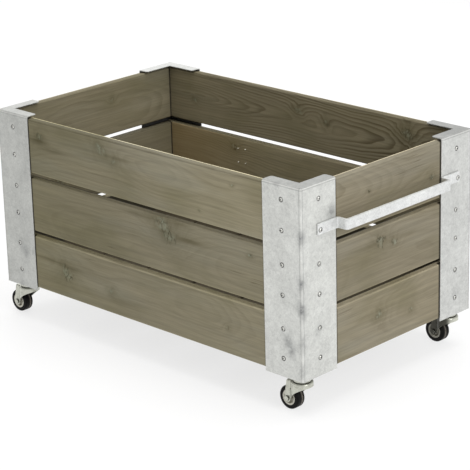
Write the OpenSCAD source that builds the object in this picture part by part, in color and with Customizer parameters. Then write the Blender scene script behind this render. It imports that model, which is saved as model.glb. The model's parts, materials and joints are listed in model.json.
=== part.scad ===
// Rolling planter: an open-top crate of weathered boards in four galvanised corner brackets,
// on four swivel castors, with a flat-bar pull handle on the right-hand end.
// Millimetres. +X runs along the crate towards the handle, -Y is the front, +Z is up.
// The origin lies on the ground, in the middle of the whole outline seen from above.

/* [Crate] */
// Length over the corner brackets
box_l = 980; // [860:10:1160]
// Width over the corner brackets
box_w = 580; // [480:10:700]
// Height of one side board
board_h = 133; // [118:1:150]
// Thickness of the side boards
board_t = 20; // [18:1:24]
// Gap between one side board and the next
board_gap = 13; // [8:1:16]
// Radius on the long edges of every board
board_edge_r = 4; // [2:0.5:6]
// Open seam where a short board butts against a long one
corner_seam = 0.5; // [0.2:0.1:1]

/* [Corner brackets] */
// Width of each flange
flange_w = 110; // [96:1:130]
// Thickness of the galvanised sheet
sheet_t = 2; // [1.5:0.5:3]
// Outer radius of the folds
fold_r = 4; // [3.5:0.5:6]
// Reach of the top lip, from the outer face
lip_w = 30; // [22:1:36]
// Radius at the free corners of the top lip
lip_corner_r = 6; // [2:1:12]
// Gap between the top board and the lip over it
lip_gap = 4; // [2:0.5:7]
// Height of the lowest board above the bracket's bottom edge
foot_drop = 7; // [6:1:14]
// Side of the welded corner plate that holds a castor
plate_w = 84; // [74:1:94]
// Thickness of the corner plate
plate_t = 3; // [2:0.5:4]
// Size of the weld bead along the corner plate
weld = 2.5; // [1.5:0.5:3]

/* [Screws] */
// Distance from a screw column to the bracket's folded edge
screw_inset = 56; // [44:1:66]
// Distance between the two screws in one board
screw_pair = 68.5; // [50:0.5:80]
// Height of the middle of the two screws above the middle of their board
screw_lift = 3.5; // [0:0.5:6]
// Diameter of a screw head
head_d = 8; // [7:0.5:9]
// Height of a screw head
head_h = 2.6; // [2:0.2:3.4]
// Diameter of a screw shank
shank_d = 4; // [3.5:0.5:5]
// Length of a bracket screw under its head
screw_l = 18; // [14:1:20]
// Length of a floor screw over all
floor_screw_l = 45; // [35:1:50]
// Length of a bearer screw over all
bearer_screw_l = 42; // [36:1:44]

/* [Handle] */
// Height of the flat bar
bar_h = 24; // [20:1:32]
// Height of the bar's middle above its two screws
bar_lift = 2; // [0:0.5:4]
// Thickness of the flat bar
bar_t = 5; // [3:0.5:6]
// Distance from the bracket's face to the outer face of the bar
handle_out = 31; // [28:1:45]
// Length of the bar over its two legs
handle_l = 358; // [280:2:360]
// Inner radius of the bends
bar_bend_r = 3; // [2:0.5:6]
// Length of the tab beyond its screw
tab_end = 7; // [6:1:12]
// Radius at the outer corner of the tab's end
bar_ease_r = 2; // [0.5:0.5:2.5]

/* [Floor] */
// Thickness of the floor boards
floor_t = 20; // [16:1:26]
// Drainage gap between the floor boards
floor_gap = 7; // [4:1:12]
// Gap between the floor boards and the long sides
floor_side_gap = 1; // [0.5:0.5:3]
// Height of a bearer
bearer_h = 40; // [34:1:50]
// Thickness of a bearer
bearer_t = 28; // [24:1:34]
// Gap between the end of a bearer and the castor nut beside it
bearer_nut_gap = 10; // [4:1:30]

/* [Castors] */
// Height from the ground to the corner plate
castor_h = 87; // [84:1:98]
// Height of the neck between the corner plate and the swivel bearing
neck_h = 9; // [6:1:11]
// Gap between a castor's washer and the side boards
castor_board_gap = 6; // [3:1:12]
// Distance of the wheel's axle behind the swivel axis
trail = 30; // [24:1:34]
// Diameter of the wheel
wheel_d = 55; // [48:1:60]
// Width of the tyre
tyre_w = 24; // [18:1:25]
// Diameter of the wheel's hub inside the tyre
hub_d = 36; // [32:1:38]
// Width of the hub's boss between the legs of the fork
boss_w = 27; // [25:0.5:28]
// Diameter of the axle bolt
axle_d = 6; // [5:0.5:7]
// Radius of the fork's round crown
crown_r = 25; // [23:0.5:28]
// Depth of the crown's rim at the front
crown_rim = 10; // [8:0.5:13]
// Distance of the crown's straight rear edge behind the swivel axis
crown_rear = 31; // [28:1:36]
// Thickness of the fork's pressed steel
fork_t = 2.5; // [2:0.5:3]
// Radius of the leg's rounded end, round the axle
leg_end_r = 9; // [7.5:0.5:10.5]
// Radius of the arch cut in the front edge of the legs
arch_r = 90; // [60:5:160]
// Radius of the pin that the fork swivels on
king_r = 6; // [5.5:0.5:7]
// Radius of the king pin's threaded end
thread_r = 4; // [3:0.5:4]
// Diameter of the balls in the swivel bearing
ball_d = 5; // [4:0.5:5]
// Radius of the ring of balls
ball_ring_r = 15; // [14:0.5:16]
// Number of balls in the swivel bearing
ball_count = 16; // [8:1:16]

/* [Fits] */
// Radial clearance of a running fit
running_fit = 0.06; // [0.04:0.01:0.08]
// Clearance round a screw or nut that doesn't turn
loose_fit = 0.15; // [0.1:0.05:0.3]
// Side clearance between pieces that turn
side_play = 0.3; // [0.2:0.05:0.5]

/* [Hidden] */
$fn = 64;
eps = 1;

// Colours
wood = [0.49, 0.46, 0.39];
pale_wood = [0.60, 0.54, 0.42];
zinc = [0.76, 0.77, 0.77];
plated = [0.70, 0.69, 0.64];
hub_grey = [0.62, 0.62, 0.58];
black_rubber = [0.05, 0.05, 0.05];

// Corners as signs of X and Y
FRONT_LEFT = [-1, -1];
FRONT_RIGHT = [1, -1];
BACK_LEFT = [-1, 1];
BACK_RIGHT = [1, 1];
CORNERS = [FRONT_LEFT, FRONT_RIGHT, BACK_LEFT, BACK_RIGHT];

// Crate
half_l = box_l / 2;
half_w = box_w / 2;
courses = 3;
board_pitch = board_h + board_gap;
boards_z = castor_h + foot_drop;
bracket_h = foot_drop + courses * board_pitch - board_gap + lip_gap + sheet_t;
long_board_l = box_l - 2 * fold_r;
short_board_l = box_w - 2 * (sheet_t + board_t + corner_seam);
inner_half_l = half_l - sheet_t - board_t;
inner_half_w = half_w - sheet_t - board_t;

// Screws
tip_l = 5;
point_d = 0.6;
handle_row = 4;
screw_z = [for (course = [0:courses - 1], side = [-1, 1])
    boards_z + course * board_pitch + board_h / 2 + screw_lift + side * screw_pair / 2];
column_x = half_l - screw_inset;
column_y = half_w - screw_inset;
recess_w = 1.1;
recess_l = 4.4;
recess_depth = 1.4;

// Floor
floor_count = 6;
floor_z = boards_z + bearer_h;
floor_board_w = (2 * inner_half_l - (floor_count + 1) * floor_gap) / floor_count;
floor_board_l = 2 * (inner_half_w - floor_side_gap);
floor_pitch = floor_board_w + floor_gap;
floor_x0 = -inner_half_l + floor_gap + floor_board_w / 2;
floor_screw_side = floor_board_w / 5;
bearer_y = inner_half_w - bearer_t / 2;

// Castors, from the ground up
wheel_r = wheel_d / 2;
hub_r = hub_d / 2;
neck_r = 12;
race_t = 2;
race_land = 2.5;
ball_sink = 0.5;
race_z = castor_h - neck_h - race_t;
crown_z = race_z - ball_d + 2 * ball_sink;
ball_z = race_z + ball_sink - ball_d / 2;
crown_bend_r = 1;
crown_round = fork_t + crown_bend_r;
fork_gap = boss_w + 2 * side_play;
fork_half_w = fork_gap / 2 + fork_t;
race_rim_r = ball_ring_r + ball_d / 2 + race_land;
king_head_r = 9;
king_head_h = 3;
king_bevel = 1;
washer_t = 1.6;
washer_r = 8;
nut_af = 13;
nut_h = 6.5;
axle_head_af = 10;
axle_head_h = 3.5;
axle_nut_h = 5;
bolt_end = 2;
castor_inset = sheet_t + board_t + castor_board_gap + washer_r;
bearer_l = 2 * (half_l - castor_inset - washer_r - bearer_nut_gap);

// The outline reaches from the left wheels, or the left brackets, to the handle
reach_left = max(half_l, half_l - castor_inset + trail + wheel_r);
reach_right = half_l + handle_out;
frame_x = (reach_left - reach_right) / 2;

// Width across the corners of a hexagon from its width across the flats
function hex_d(af) = af / cos(30);

// Centre of the circle of radius r through a and b, on the right of the way from a to b
function arc_centre(a, b, r) =
    let (mid = (a + b) / 2, way = b - a, len = norm(way), rise = sqrt(r * r - len * len / 4))
    mid + rise * [way[1], -way[0]] / len;

module in_frame() {
    translate([frame_x, 0, 0])
        children();
}

module at_castor(corner) {
    in_frame()
        translate([corner[0] * (half_l - castor_inset), corner[1] * (half_w - castor_inset), 0])
            children();
}

module at_axle() {
    translate([-trail, 0, wheel_r])
        rotate([90, 0, 0])
            children();
}

// ---- timber ----

module rounded_rect(size, r) {
    square([size[0] - 2 * r, size[1]], center = true);
    square([size[0], size[1] - 2 * r], center = true);
    for (sx = [-1, 1], sy = [-1, 1])
        translate([sx * (size[0] / 2 - r), sy * (size[1] / 2 - r)])
            circle(r);
}

// A board along X with its long edges eased, centred on the origin
module plank(l, w, t) {
    rotate([90, 0, 90])
        linear_extrude(l, center = true)
            rounded_rect([w, t], board_edge_r);
}

// Side board of a long side; side is -1 at the front, 1 at the back
module long_board(side, course) {
    color(wood)
        in_frame()
            difference() {
                translate([0, side * (half_w - sheet_t - board_t / 2),
                           boards_z + course * board_pitch + board_h / 2])
                    plank(long_board_l, board_t, board_h);
                bracket_screw_set(loose_fit);
                bearer_screw_set(loose_fit);
            }
}

// Side board of a short side; side is -1 on the left, 1 on the right
module short_board(side, course) {
    color(wood)
        in_frame()
            difference() {
                translate([side * (half_l - sheet_t - board_t / 2), 0,
                           boards_z + course * board_pitch + board_h / 2])
                    rotate([0, 0, 90])
                        plank(short_board_l, board_t, board_h);
                bracket_screw_set(loose_fit);
                handle_screw_set(loose_fit);
            }
}

module bearer(side) {
    color(pale_wood)
        in_frame()
            difference() {
                translate([0, side * bearer_y, boards_z + bearer_h / 2])
                    plank(bearer_l, bearer_t, bearer_h);
                bearer_screw_set(loose_fit);
                floor_screw_set(loose_fit);
            }
}

module floor_board(index) {
    color(pale_wood)
        in_frame()
            difference() {
                translate([floor_x0 + index * floor_pitch, 0, floor_z + floor_t / 2])
                    rotate([0, 0, 90])
                        plank(floor_board_l, floor_board_w, floor_t);
                floor_screw_set(loose_fit);
            }
}

// ---- screws ----

// Pan-head screw pointing down, its head resting on z = 0; grow widens it into its hole
module pan_screw(grow = 0) {
    difference() {
        union() {
            pan_head(grow);
            shank(screw_l + grow, grow);
        }
        if (grow == 0)
            drive_recess(head_h);
    }
}

module pan_head(grow) {
    dome_r = (head_d * head_d / 4 + head_h * head_h) / (2 * head_h);
    intersection() {
        cylinder(d = head_d + 2 * grow, h = head_h + grow);
        translate([0, 0, head_h + grow - dome_r])
            sphere(dome_r);
    }
}

// Countersunk screw pointing down, the top of its head at z = 0
module sunk_screw(l, grow = 0) {
    cone_h = (head_d - shank_d) / 2;
    difference() {
        union() {
            translate([0, 0, -cone_h])
                cylinder(d1 = shank_d + 2 * grow, d2 = head_d + 2 * grow, h = cone_h);
            if (grow > 0)
                cylinder(d = head_d + 2 * grow, h = eps);
            shank(l, grow);
        }
        if (grow == 0)
            drive_recess(0);
    }
}

// Plain shank with a pointed end, reaching down from z = 0
module shank(l, grow) {
    translate([0, 0, tip_l - l])
        cylinder(d = shank_d + 2 * grow, h = l - tip_l);
    translate([0, 0, -l])
        cylinder(d1 = point_d + 2 * grow, d2 = shank_d + 2 * grow, h = tip_l);
}

module drive_recess(top) {
    translate([0, 0, top - recess_depth])
        for (turn = [0, 90])
            rotate([0, 0, turn])
                translate([-recess_l / 2, -recess_w / 2, 0])
                    cube([recess_l, recess_w, recess_depth + eps]);
}

// Screws through the flanges on the long sides, then on the short sides
module bracket_screw_set(grow = 0) {
    for (sx = [-1, 1], side = [-1, 1], row = [0:2 * courses - 1]) {
        translate([sx * column_x, side * half_w, screw_z[row]])
            rotate([-side * 90, 0, 0])
                pan_screw(grow);
        if (sx < 0 || row != handle_row)
            translate([sx * half_l, side * column_y, screw_z[row]])
                rotate([0, sx * 90, 0])
                    pan_screw(grow);
    }
}

// Screws that hold the handle's tabs over the right-hand brackets
module handle_screw_set(grow = 0) {
    for (side = [-1, 1])
        translate([half_l + bar_t, side * column_y, screw_z[handle_row]])
            rotate([0, 90, 0])
                pan_screw(grow);
}

module bearer_screw_set(grow = 0) {
    for (side = [-1, 1], i = [0:floor_count - 1])
        translate([floor_x0 + i * floor_pitch, side * (inner_half_w - bearer_t),
                   boards_z + bearer_h / 2])
            rotate([side * 90, 0, 0])
                sunk_screw(bearer_screw_l, grow);
}

module floor_screw_set(grow = 0) {
    for (side = [-1, 1], i = [0:floor_count - 1], edge = [-1, 1])
        translate([floor_x0 + i * floor_pitch + edge * floor_screw_side,
                   side * bearer_y, floor_z + floor_t])
            sunk_screw(floor_screw_l, grow);
}

module bracket_screws() {
    color(plated)
        in_frame()
            bracket_screw_set();
}

module handle_screws() {
    color(plated)
        in_frame()
            handle_screw_set();
}

module bearer_screws() {
    color(plated)
        in_frame()
            bearer_screw_set();
}

module floor_screws() {
    color(plated)
        in_frame()
            floor_screw_set();
}

// ---- corner brackets ----

// What a rounded corner leaves over: outside the circle of radius r on the origin, towards +X +Y
module corner_waste(r) {
    difference() {
        square(r + eps);
        circle(r);
    }
}

// Rectangle with its corner at the origin rounded to r
module fold_square(w, h, r) {
    difference() {
        square([w, h]);
        translate([r, r])
            rotate(180)
                corner_waste(r);
    }
}

// Block in the corner of X and Y, its upright edge and the two edges at its top rounded to r
module folded_block(w, h, r) {
    intersection() {
        linear_extrude(h)
            fold_square(w, w, r);
        translate([0, 0, h])
            rotate([-90, 0, 0])
                linear_extrude(w)
                    fold_square(w, h, r);
        translate([0, 0, h])
            rotate([-90, 0, 0])
                rotate([0, 90, 0])
                    mirror([1, 0, 0])
                        linear_extrude(w)
                            fold_square(w, h, r);
    }
}

// What is cut out of the top sheet to leave the two arms of the lip
module lip_cut() {
    translate([lip_w, lip_w])
        square(flange_w);
    for (turn = [0, 1])
        mirror([turn, -turn])
            translate([flange_w - lip_corner_r, lip_w - lip_corner_r])
                corner_waste(lip_corner_r);
}

// Corner plate with its inner corner cut off, and the weld beads along the two flanges
module corner_plate() {
    cut = plate_w / 3;
    buried = sheet_t / 2;
    linear_extrude(plate_t)
        polygon([[buried, buried], [plate_w, buried], [plate_w, plate_w - cut],
                 [plate_w - cut, plate_w], [buried, plate_w]]);
    for (turn = [0, 1])
        mirror([turn, -turn, 0])
            translate([sheet_t, sheet_t, plate_t])
                rotate([90, 0, 90])
                    linear_extrude(plate_w - sheet_t)
                        polygon([[-buried, -buried], [weld, -buried], [weld, 0], [0, weld],
                                 [-buried, weld]]);
}

module bracket(corner) {
    turn = corner[1] < 0 ? 45 + 45 * corner[0] : 225 - 45 * corner[0];
    color(zinc)
        in_frame()
            difference() {
                translate([corner[0] * half_l, corner[1] * half_w, castor_h])
                    rotate([0, 0, turn])
                        union() {
                            difference() {
                                folded_block(flange_w, bracket_h, fold_r);
                                translate([sheet_t, sheet_t, -eps])
                                    folded_block(flange_w, bracket_h - sheet_t + eps,
                                                 fold_r - sheet_t);
                                translate([0, 0, bracket_h - fold_r])
                                    linear_extrude(fold_r + eps)
                                        lip_cut();
                            }
                            corner_plate();
                        }
                castor_hole(corner);
                bracket_screw_set(loose_fit);
                handle_screw_set(loose_fit);
            }
}

module castor_hole(corner) {
    translate([corner[0] * (half_l - castor_inset), corner[1] * (half_w - castor_inset),
               castor_h - eps])
        cylinder(r = thread_r + loose_fit, h = plate_t + 2 * eps);
}

// ---- handle ----

// A quarter turn of the bar, its inner corner at the origin, running from +X round to +Y
module bar_bend() {
    intersection() {
        difference() {
            circle(bar_bend_r + bar_t);
            circle(bar_bend_r);
        }
        square(bar_bend_r + bar_t);
    }
}

// Half of the handle seen from above, from the middle of the grip to the end of the tab
module handle_half() {
    outer_r = bar_bend_r + bar_t;
    leg_y = handle_l / 2;
    tab_y = column_y + tab_end;
    translate([handle_out - bar_t, 0])
        square([bar_t, leg_y - outer_r]);
    translate([handle_out - outer_r, leg_y - outer_r])
        bar_bend();
    translate([outer_r, leg_y - bar_t])
        square([handle_out - 2 * outer_r, bar_t]);
    translate([outer_r, leg_y - bar_t + outer_r])
        rotate(180)
            bar_bend();
    difference() {
        translate([0, leg_y - bar_t + outer_r])
            square([bar_t, tab_y - leg_y + bar_t - outer_r]);
        translate([bar_t - bar_ease_r, tab_y - bar_ease_r])
            corner_waste(bar_ease_r);
    }
}

module handle() {
    color(zinc)
        in_frame()
            difference() {
                translate([half_l, 0, screw_z[handle_row] + bar_lift - bar_h / 2])
                    linear_extrude(bar_h) {
                        handle_half();
                        mirror([0, 1])
                            handle_half();
                    }
                handle_screw_set(loose_fit);
            }
}

// ---- castors ----

// Fixed upper race: a neck under the plate, a turned-down rim and a groove for the balls
module castor_race(corner) {
    color(plated)
        at_castor(corner)
            rotate_extrude() {
                translate([king_r, race_z])
                    square([neck_r - king_r, neck_h + race_t]);
                difference() {
                    translate([king_r, race_z])
                        square([race_rim_r - king_r, race_t]);
                    ball_track();
                }
                translate([race_rim_r - race_t, race_z - ball_d / 2])
                    square([race_t, ball_d / 2 + race_t]);
            }
}

// Section of the groove that the balls run in
module ball_track() {
    translate([ball_ring_r, ball_z])
        circle(d = ball_d + 2 * running_fit);
}

// Shouldered pin: head under the crown, shoulder through both races, thread through the plate
module castor_king_pin(corner) {
    head_z = crown_z - fork_t - side_play - king_head_h;
    thread_top = castor_h + plate_t + washer_t + nut_h + bolt_end;
    color(plated)
        at_castor(corner) {
            translate([0, 0, head_z])
                cylinder(r1 = king_head_r - king_bevel, r2 = king_head_r, h = king_head_h);
            translate([0, 0, head_z])
                cylinder(r = king_r, h = castor_h - head_z);
            translate([0, 0, head_z])
                cylinder(r = thread_r, h = thread_top - head_z);
        }
}

module castor_nuts() {
    color(plated)
        for (corner = CORNERS)
            at_castor(corner)
                translate([0, 0, castor_h + plate_t])
                    difference() {
                        union() {
                            cylinder(r = washer_r, h = washer_t);
                            translate([0, 0, washer_t])
                                cylinder(d = hex_d(nut_af), h = nut_h, $fn = 6);
                        }
                        translate([0, 0, -eps])
                            cylinder(r = thread_r + loose_fit, h = nut_h + washer_t + 2 * eps);
                    }
}

module castor_balls(corner) {
    color(plated)
        at_castor(corner)
            for (i = [0:ball_count - 1])
                rotate([0, 0, i * 360 / ball_count])
                    translate([ball_ring_r, 0, ball_z])
                        sphere(d = ball_d);
}

// Solid outline of the fork: a round crown running back into two parallel sides
module fork_form(inset) {
    top = crown_z - inset;
    round_r = crown_round - inset;
    rotate_extrude()
        intersection() {
            shoulder([2 * (crown_r - inset), top], round_r);
            square([crown_r, castor_h]);
        }
    rotate([90, 0, -90])
        linear_extrude(trail + leg_end_r + inset + eps)
            shoulder([2 * (fork_half_w - inset), top], round_r);
}

// Upright rectangle on y = 0 with its two top corners rounded
module shoulder(size, r) {
    translate([-size[0] / 2, 0])
        square([size[0], size[1] - r]);
    translate([r - size[0] / 2, 0])
        square([size[0] - 2 * r, size[1]]);
    for (side = [-1, 1])
        translate([side * (size[0] / 2 - r), size[1] - r])
            circle(r);
}

// The fork seen from its side, +X forward
module fork_side() {
    axle = [-trail, wheel_r];
    low = axle + [leg_end_r, 0];
    high = [crown_r, crown_z - crown_rim];
    difference() {
        polygon([axle - [leg_end_r, 0], low, high, [crown_r, crown_z], [-crown_rear, crown_z]]);
        translate(arc_centre(low, high, arch_r))
            circle(arch_r, $fn = 180);
    }
    translate(axle)
        circle(leg_end_r);
}

module castor_fork(corner) {
    color(plated)
        at_castor(corner)
            difference() {
                intersection() {
                    difference() {
                        fork_form(0);
                        fork_form(fork_t);
                    }
                    rotate([90, 0, 0])
                        linear_extrude(4 * crown_r, center = true)
                            fork_side();
                }
                translate([0, 0, crown_z - 2 * fork_t])
                    cylinder(r = king_r + running_fit, h = 3 * fork_t);
                rotate_extrude()
                    ball_track();
                at_axle()
                    cylinder(d = axle_d + 2 * loose_fit, h = 4 * crown_r, center = true);
            }
}

// Axle bolt, its head on the front leg, and its nut on the back leg
module castor_axle(corner) {
    color(plated)
        at_castor(corner)
            at_axle() {
                translate([0, 0, fork_half_w])
                    cylinder(d = hex_d(axle_head_af), h = axle_head_h, $fn = 6);
                translate([0, 0, -fork_half_w - axle_nut_h - bolt_end])
                    cylinder(d = axle_d, h = 2 * fork_half_w + axle_nut_h + bolt_end);
                translate([0, 0, -fork_half_w - axle_nut_h])
                    difference() {
                        cylinder(d = hex_d(axle_head_af), h = axle_nut_h, $fn = 6);
                        translate([0, 0, -eps])
                            cylinder(d = axle_d + 2 * loose_fit, h = axle_nut_h + 2 * eps);
                    }
            }
}

// Moulded hub: boss, web and rim, turned about the axle
module castor_hub(corner) {
    boss_wall = 3.5;
    rim_t = 4;
    rim_step = 0.5;
    web_t = 6;
    boss_r = axle_d / 2 + boss_wall;
    rim_w = tyre_w - 2 * rim_step;
    color(hub_grey)
        at_castor(corner)
            at_axle()
                rotate_extrude()
                    difference() {
                        union() {
                            translate([0, -boss_w / 2])
                                square([boss_r, boss_w]);
                            translate([0, -web_t / 2])
                                square([hub_r, web_t]);
                            translate([hub_r - rim_t, -rim_w / 2])
                                square([rim_t, rim_w]);
                        }
                        translate([-eps, -boss_w])
                            square([axle_d / 2 + running_fit + eps, 2 * boss_w]);
                    }
}

// Rubber tyre with a crowned tread
module castor_tyre(corner) {
    shoulder_r = 4;
    color(black_rubber)
        at_castor(corner)
            at_axle()
                rotate_extrude()
                    difference() {
                        union() {
                            translate([0, -tyre_w / 2])
                                square([wheel_r - shoulder_r, tyre_w]);
                            intersection() {
                                translate([0, -tyre_w / 2])
                                    square([wheel_r, tyre_w]);
                                for (side = [-1, 1])
                                    translate([wheel_r - shoulder_r, side * (tyre_w / 2 - shoulder_r)])
                                        circle(shoulder_r);
                            }
                            translate([0, shoulder_r - tyre_w / 2])
                                square([wheel_r, tyre_w - 2 * shoulder_r]);
                        }
                        translate([-eps, -tyre_w])
                            square([hub_r + eps, 2 * tyre_w]);
                    }
}

// ---- nodes ----

long_board(-1, 0);  // front_board_low
long_board(-1, 1);  // front_board_mid
long_board(-1, 2);  // front_board_top
long_board(1, 0);  // back_board_low
long_board(1, 1);  // back_board_mid
long_board(1, 2);  // back_board_top
short_board(-1, 0);  // left_board_low
short_board(-1, 1);  // left_board_mid
short_board(-1, 2);  // left_board_top
short_board(1, 0);  // right_board_low
short_board(1, 1);  // right_board_mid
short_board(1, 2);  // right_board_top
bracket(FRONT_LEFT);  // bracket_front_left
bracket(FRONT_RIGHT);  // bracket_front_right
bracket(BACK_LEFT);  // bracket_back_left
bracket(BACK_RIGHT);  // bracket_back_right
bracket_screws();
handle();
handle_screws();
bearer(-1);  // bearer_front
bearer(1);  // bearer_back
bearer_screws();
floor_board(0);  // floor_board_1
floor_board(1);  // floor_board_2
floor_board(2);  // floor_board_3
floor_board(3);  // floor_board_4
floor_board(4);  // floor_board_5
floor_board(5);  // floor_board_6
floor_screws();
castor_nuts();
castor_race(FRONT_LEFT);  // front_left_race
castor_race(FRONT_RIGHT);  // front_right_race
castor_race(BACK_LEFT);  // back_left_race
castor_race(BACK_RIGHT);  // back_right_race
castor_king_pin(FRONT_LEFT);  // front_left_king_pin
castor_king_pin(FRONT_RIGHT);  // front_right_king_pin
castor_king_pin(BACK_LEFT);  // back_left_king_pin
castor_king_pin(BACK_RIGHT);  // back_right_king_pin
castor_balls(FRONT_LEFT);  // front_left_balls
castor_balls(FRONT_RIGHT);  // front_right_balls
castor_balls(BACK_LEFT);  // back_left_balls
castor_balls(BACK_RIGHT);  // back_right_balls
castor_fork(FRONT_LEFT);  // front_left_fork
castor_fork(FRONT_RIGHT);  // front_right_fork
castor_fork(BACK_LEFT);  // back_left_fork
castor_fork(BACK_RIGHT);  // back_right_fork
castor_axle(FRONT_LEFT);  // front_left_axle
castor_axle(FRONT_RIGHT);  // front_right_axle
castor_axle(BACK_LEFT);  // back_left_axle
castor_axle(BACK_RIGHT);  // back_right_axle
castor_hub(FRONT_LEFT);  // front_left_hub
castor_hub(FRONT_RIGHT);  // front_right_hub
castor_hub(BACK_LEFT);  // back_left_hub
castor_hub(BACK_RIGHT);  // back_right_hub
castor_tyre(FRONT_LEFT);  // front_left_tyre
castor_tyre(FRONT_RIGHT);  // front_right_tyre
castor_tyre(BACK_LEFT);  // back_left_tyre
castor_tyre(BACK_RIGHT);  // back_right_tyre
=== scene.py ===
"""Rolling planter: the finish of every piece, its small surface marks, soft studio light and the camera."""
import json
import math
import random

import bmesh
import bpy
from mathutils import Matrix, Vector


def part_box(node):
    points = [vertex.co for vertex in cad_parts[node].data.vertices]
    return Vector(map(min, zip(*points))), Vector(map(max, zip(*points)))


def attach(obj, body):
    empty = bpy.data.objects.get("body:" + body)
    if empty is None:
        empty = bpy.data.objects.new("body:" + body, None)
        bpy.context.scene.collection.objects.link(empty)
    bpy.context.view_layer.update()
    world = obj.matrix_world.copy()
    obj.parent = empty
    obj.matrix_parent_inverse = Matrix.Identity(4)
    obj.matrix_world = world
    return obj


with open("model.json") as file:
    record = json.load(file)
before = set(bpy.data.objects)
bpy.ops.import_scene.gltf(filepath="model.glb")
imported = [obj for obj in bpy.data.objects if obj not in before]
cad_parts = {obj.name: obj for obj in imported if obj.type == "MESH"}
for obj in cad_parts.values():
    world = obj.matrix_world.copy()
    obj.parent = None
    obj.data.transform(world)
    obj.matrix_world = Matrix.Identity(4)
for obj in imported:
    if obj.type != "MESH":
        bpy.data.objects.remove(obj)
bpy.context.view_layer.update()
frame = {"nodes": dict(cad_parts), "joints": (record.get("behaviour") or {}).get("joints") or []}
NODES = frame["nodes"]
MM = 0.001
CORNERS = ("front_left", "front_right", "back_left", "back_right")
SIDES = ("front", "back", "left", "right")
COURSES = ("low", "mid", "top")

# The box of the four corner brackets, and the middle of its underside, which the camera and the marks on
# the brackets are placed from
CRATE_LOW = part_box("bracket_front_left")[0]
CRATE_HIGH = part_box("bracket_back_right")[1]
CRATE_MIDDLE = (CRATE_LOW + CRATE_HIGH) / 2
CRATE_HALF = (CRATE_HIGH - CRATE_LOW) / 2
CRATE_FOOT = Vector((CRATE_MIDDLE.x, CRATE_MIDDLE.y, CRATE_LOW.z))

# The brackets: the width of a flange and the thickness of the sheet
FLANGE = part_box("bracket_front_left")[1].x - CRATE_LOW.x
SHEET = 2 * MM

# The brackets' screws: radius of a head, inset from the corner, pitch of the courses, distance between
# a board's two screws, and the middle of the lowest two over the crate's foot
SCREWS_LOW, SCREWS_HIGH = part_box("bracket_screws")
SCREW_HEAD = 4 * MM
SCREW_INSET = 56 * MM
COURSE_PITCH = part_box("front_board_mid")[0].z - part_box("front_board_low")[0].z
SCREW_PAIR = SCREWS_HIGH.z - SCREWS_LOW.z - 2 * SCREW_HEAD - 2 * COURSE_PITCH
LOWEST_PAIR = SCREWS_LOW.z + SCREW_HEAD + SCREW_PAIR / 2 - CRATE_FOOT.z

# The castors, from the crate's middle: a king pin along it and a wheel's middle across it
PIVOTS = {joint["name"]: joint["pos_m"] for joint in frame["joints"]}
KING_PIN = PIVOTS["front_right_swivel_turn"][0] - CRATE_MIDDLE.x
TYRE_LOW, TYRE_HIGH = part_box("front_left_tyre")
WHEEL_OFFSET = CRATE_MIDDLE.y - (TYRE_LOW.y + TYRE_HIGH.y) / 2


# ---- node trees ----

def srgb(red, green, blue):
    """A screen colour, 0 to 255, as the linear colour that a shader takes."""
    def linear(value):
        share = value / 255
        return share / 12.92 if share <= 0.04045 else ((share + 0.055) / 1.055) ** 2.4
    return (linear(red), linear(green), linear(blue), 1.0)


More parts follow.
